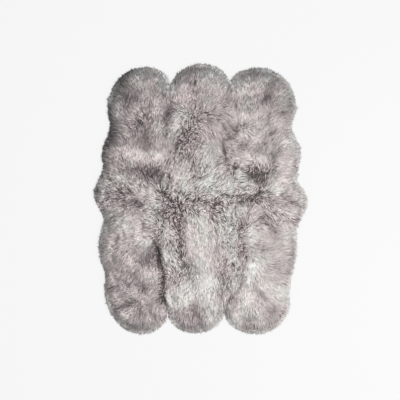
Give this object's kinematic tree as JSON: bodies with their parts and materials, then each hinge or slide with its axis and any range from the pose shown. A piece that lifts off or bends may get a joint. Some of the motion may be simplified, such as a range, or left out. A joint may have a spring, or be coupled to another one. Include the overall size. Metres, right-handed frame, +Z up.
{
  "type": "sheepskin rug",
  "caption": "Flat shaggy floor rug of trimmed sheepskins sewn edge to edge in two rows, with rounded lobes at both ends and long taupe-grey wool.",
  "frame": {"origin": "on the floor under the middle of the rug's bounding box", "axes": "+Z up through the wool, +Y along the length towards the row of pelts named upper, +X across the rug"},
  "size_m": [1.4528, 1.8532, 0.0578],
  "materials": {
    "wool": "long brushed sheep's wool, taupe grey with pale tips",
    "hide": "suede, the tanned underside"
  },
  "bodies": {
    "root": {"pelt_upper_left": "wool", "pelt_upper_middle": "wool", "pelt_upper_right": "wool", "pelt_lower_left": "wool", "pelt_lower_middle": "wool", "pelt_lower_right": "wool"}
  },
  "joints": []
}
